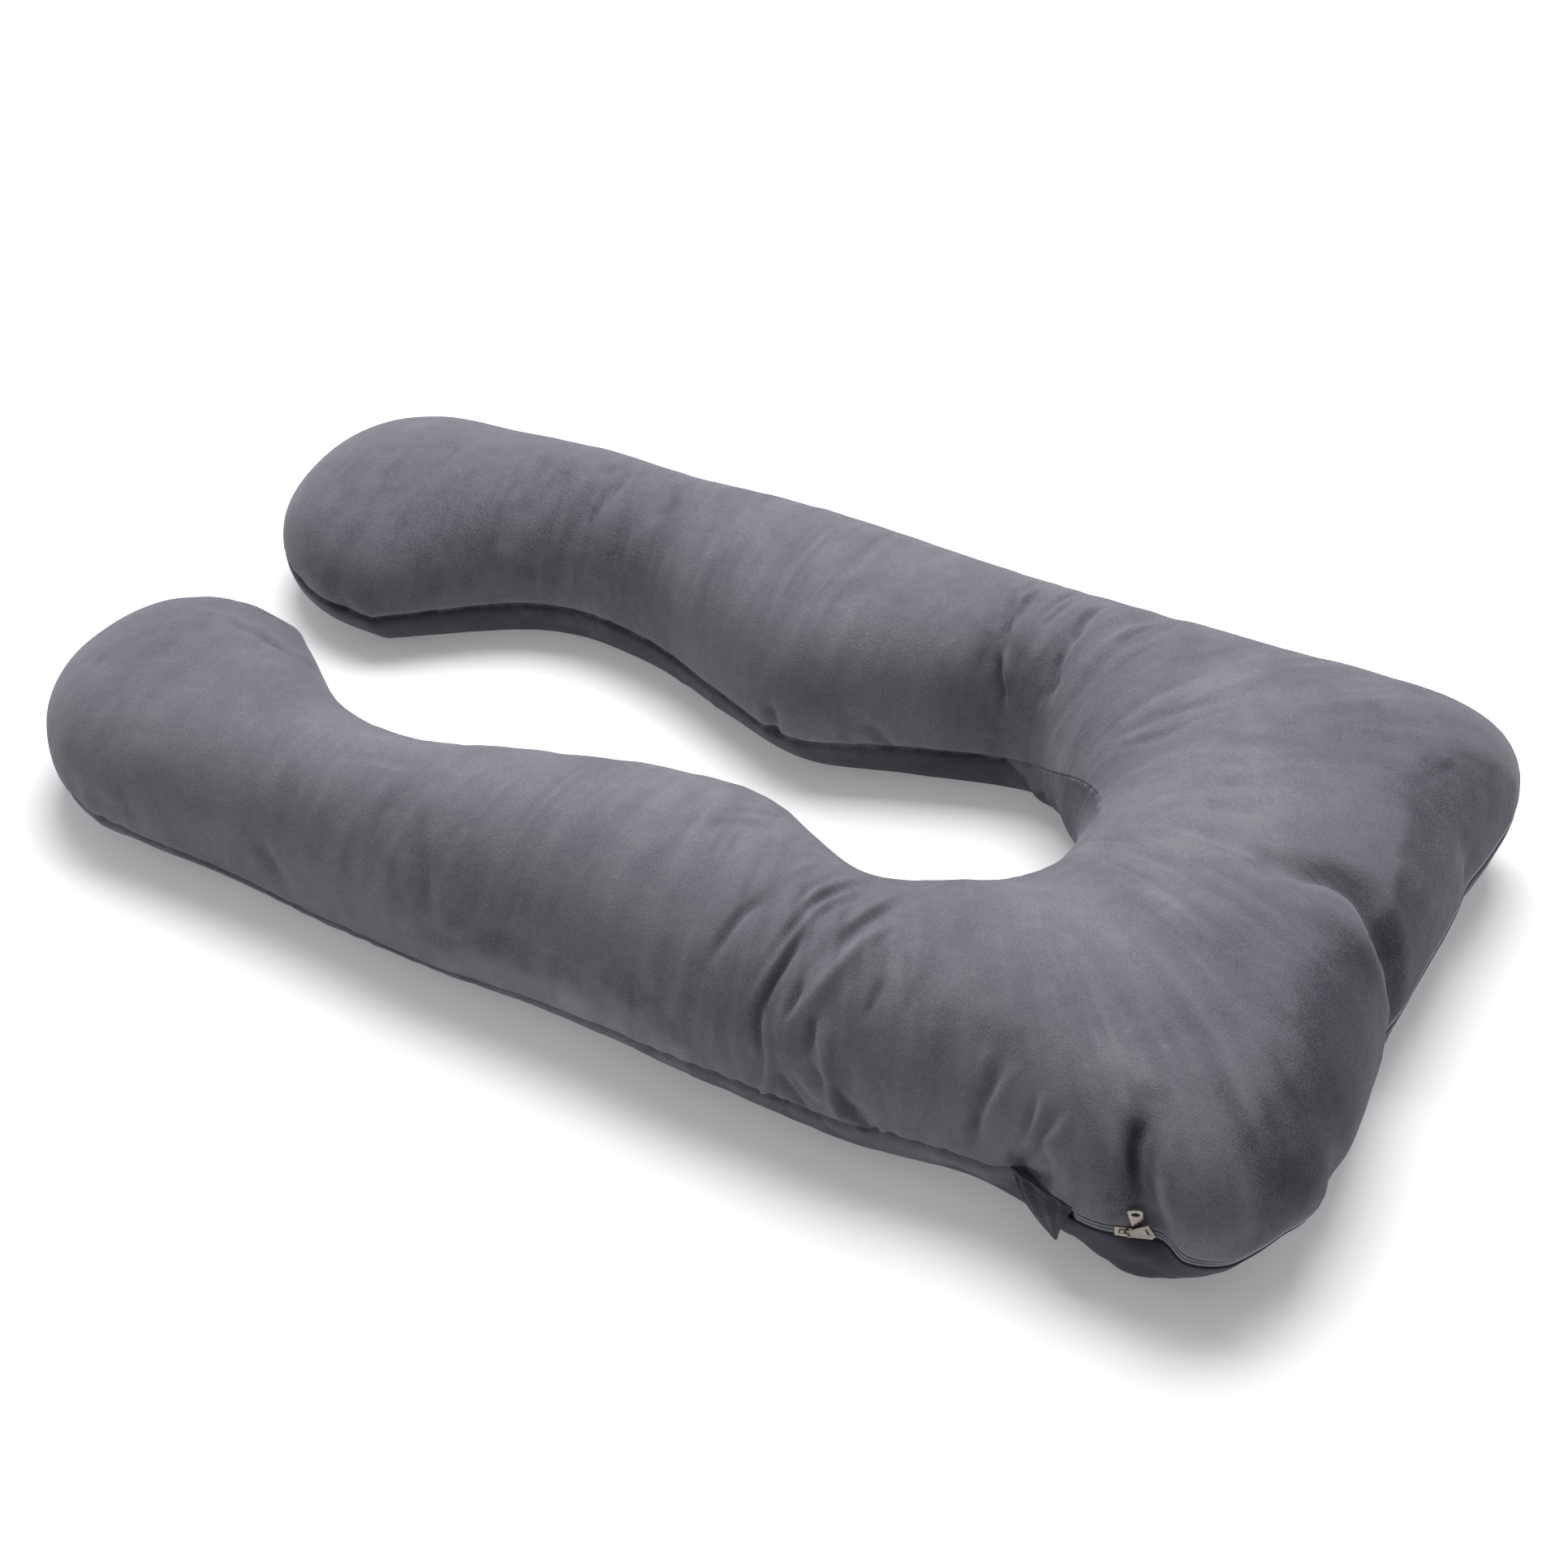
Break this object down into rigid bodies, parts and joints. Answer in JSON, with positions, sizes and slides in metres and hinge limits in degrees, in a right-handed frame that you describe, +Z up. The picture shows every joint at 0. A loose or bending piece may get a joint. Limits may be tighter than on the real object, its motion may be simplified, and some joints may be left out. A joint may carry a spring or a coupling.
{
  "type": "u-shaped body pillow",
  "caption": "U-shaped body pillow in short-pile velvet: a rectangular closed end, two waisted legs with round feet, and a coil zip with head-to-head sliders round the closed end.",
  "frame": {"origin": "on the floor under the middle of the whole part's box", "axes": "+X from the open end towards the closed end, +Y from the near leg towards the far leg, +Z up from the floor that the pillow lies on"},
  "size_m": [1.461, 0.7824, 0.22],
  "materials": {
    "velvet": "short-pile velvet, dark blue-grey",
    "zip_tape": "woven tape, grey",
    "zip_coil": "nylon coil, light grey",
    "gunmetal": "dark warm gunmetal"
  },
  "bodies": {
    "root": {"cover": "velvet", "zip_tape_upper": "zip_tape", "zip_tape_lower": "zip_tape", "zip_teeth_upper": "zip_coil", "zip_teeth_lower": "zip_coil", "zip_slider_near": "gunmetal", "zip_slider_far": "gunmetal", "zip_pull_near": "gunmetal", "zip_pull_far": "gunmetal"}
  },
  "joints": []
}
